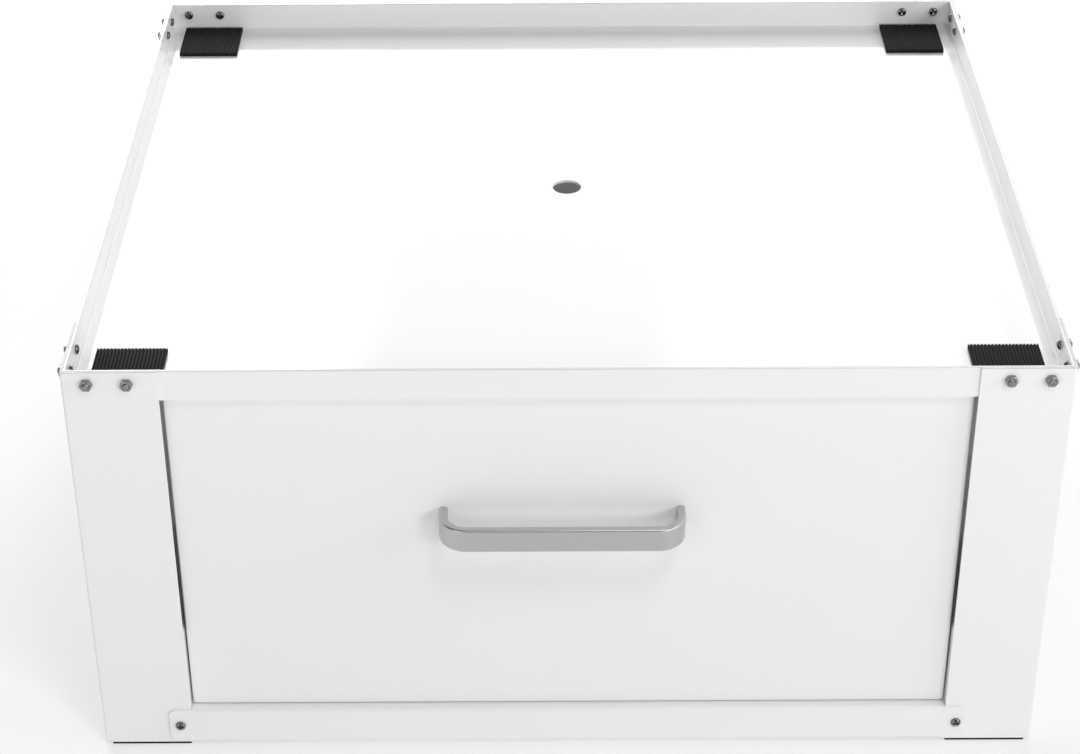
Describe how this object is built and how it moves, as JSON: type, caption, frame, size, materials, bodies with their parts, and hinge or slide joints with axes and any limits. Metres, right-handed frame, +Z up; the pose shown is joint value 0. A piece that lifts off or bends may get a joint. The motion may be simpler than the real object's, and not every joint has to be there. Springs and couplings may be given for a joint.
{
  "type": "washer pedestal drawer",
  "caption": "Steel pedestal for a washing machine: folded angle legs, a rimmed top tray with rubber pads, and a wide storage drawer on ball slides.",
  "frame": {"origin": "on the floor, under the middle of the whole pedestal's box, handle included", "axes": "+X to the right seen from the front and along the pedestal's width, -Y out of the front, the way the drawer opens, +Z up"},
  "size_m": [0.638, 0.5756, 0.301],
  "materials": {
    "white_powder_coat": "smooth semi-gloss powder coat on folded steel",
    "white_gloss_deck": "glossy enamel, mirrors the rim",
    "galvanised_steel": "zinc coated sheet",
    "zinc_nut": "dull zinc plating",
    "chrome_screw": "bright plating",
    "satin_handle": "satin silver coating",
    "black_rubber": "moulded matt",
    "bearing_steel": "polished balls"
  },
  "bodies": {
    "frame": {"front_left_leg": "white_powder_coat", "front_right_leg": "white_powder_coat", "rear_left_leg": "white_powder_coat", "rear_right_leg": "white_powder_coat", "top_tray": "white_gloss_deck", "deck_ribs": "white_powder_coat", "left_side_panel": "white_powder_coat", "right_side_panel": "white_powder_coat", "front_bottom_rail": "white_powder_coat", "rear_bottom_rail": "white_powder_coat", "left_runner_rail": "white_powder_coat", "right_runner_rail": "white_powder_coat", "front_left_runner_bracket": "white_powder_coat", "front_right_runner_bracket": "white_powder_coat", "rear_left_runner_bracket": "white_powder_coat", "rear_right_runner_bracket": "white_powder_coat", "front_left_washer_pad": "black_rubber", "front_right_washer_pad": "black_rubber", "rear_left_washer_pad": "black_rubber", "rear_right_washer_pad": "black_rubber", "front_left_foot": "black_rubber", "front_right_foot": "black_rubber", "rear_left_foot": "black_rubber", "rear_right_foot": "black_rubber", "rim_screws": "chrome_screw", "rim_nuts": "zinc_nut", "rail_screws": "chrome_screw", "rail_nuts": "zinc_nut", "panel_screws": "chrome_screw", "panel_nuts": "zinc_nut", "left_slide_outer": "galvanised_steel", "right_slide_outer": "galvanised_steel", "slide_bumpers": "black_rubber", "outer_slide_rivets": "zinc_nut"},
    "drawer": {"left_slide_inner": "galvanised_steel", "right_slide_inner": "galvanised_steel", "inner_slide_rivets": "zinc_nut", "drawer_front": "white_powder_coat", "drawer_front_liner": "white_powder_coat", "left_drawer_side": "white_powder_coat", "right_drawer_side": "white_powder_coat", "drawer_bottom": "white_powder_coat", "drawer_back": "white_powder_coat", "drawer_rivets": "zinc_nut", "handle": "satin_handle", "handle_screws": "chrome_screw"},
    "left_middle": {"left_slide_middle": "galvanised_steel"},
    "right_middle": {"right_slide_middle": "galvanised_steel"},
    "left_outer_ball_row": {"left_outer_cage": "zinc_nut", "left_outer_balls": "bearing_steel"},
    "right_outer_ball_row": {"right_outer_cage": "zinc_nut", "right_outer_balls": "bearing_steel"},
    "left_inner_ball_row": {"left_inner_cage": "zinc_nut", "left_inner_balls": "bearing_steel"},
    "right_inner_ball_row": {"right_inner_cage": "zinc_nut", "right_inner_balls": "bearing_steel"}
  },
  "joints": [
    {"name": "drawer_slide", "type": "slide", "parent": "frame", "child": "drawer", "axis": [0, -1, 0], "range_m": [0, 0.45]},
    {"name": "left_middle_slide", "type": "slide", "parent": "frame", "child": "left_middle", "axis": [0, -1, 0], "range_m": [0, 0.225]},
    {"name": "right_middle_slide", "type": "slide", "parent": "frame", "child": "right_middle", "axis": [0, -1, 0], "range_m": [0, 0.225]},
    {"name": "left_outer_cage_slide", "type": "slide", "parent": "frame", "child": "left_outer_ball_row", "axis": [0, -1, 0], "range_m": [0, 0.1125]},
    {"name": "right_outer_cage_slide", "type": "slide", "parent": "frame", "child": "right_outer_ball_row", "axis": [0, -1, 0], "range_m": [0, 0.1125]},
    {"name": "left_inner_cage_slide", "type": "slide", "parent": "frame", "child": "left_inner_ball_row", "axis": [0, -1, 0], "range_m": [0, 0.3375]},
    {"name": "right_inner_cage_slide", "type": "slide", "parent": "frame", "child": "right_inner_ball_row", "axis": [0, -1, 0], "range_m": [0, 0.3375]}
  ],
  "couplings": [
    {"joint": "left_middle_slide", "follows": "drawer_slide", "ratio": 0.5},
    {"joint": "right_middle_slide", "follows": "drawer_slide", "ratio": 0.5},
    {"joint": "left_outer_cage_slide", "follows": "drawer_slide", "ratio": 0.25},
    {"joint": "right_outer_cage_slide", "follows": "drawer_slide", "ratio": 0.25},
    {"joint": "left_inner_cage_slide", "follows": "drawer_slide", "ratio": 0.75},
    {"joint": "right_inner_cage_slide", "follows": "drawer_slide", "ratio": 0.75}
  ]
}
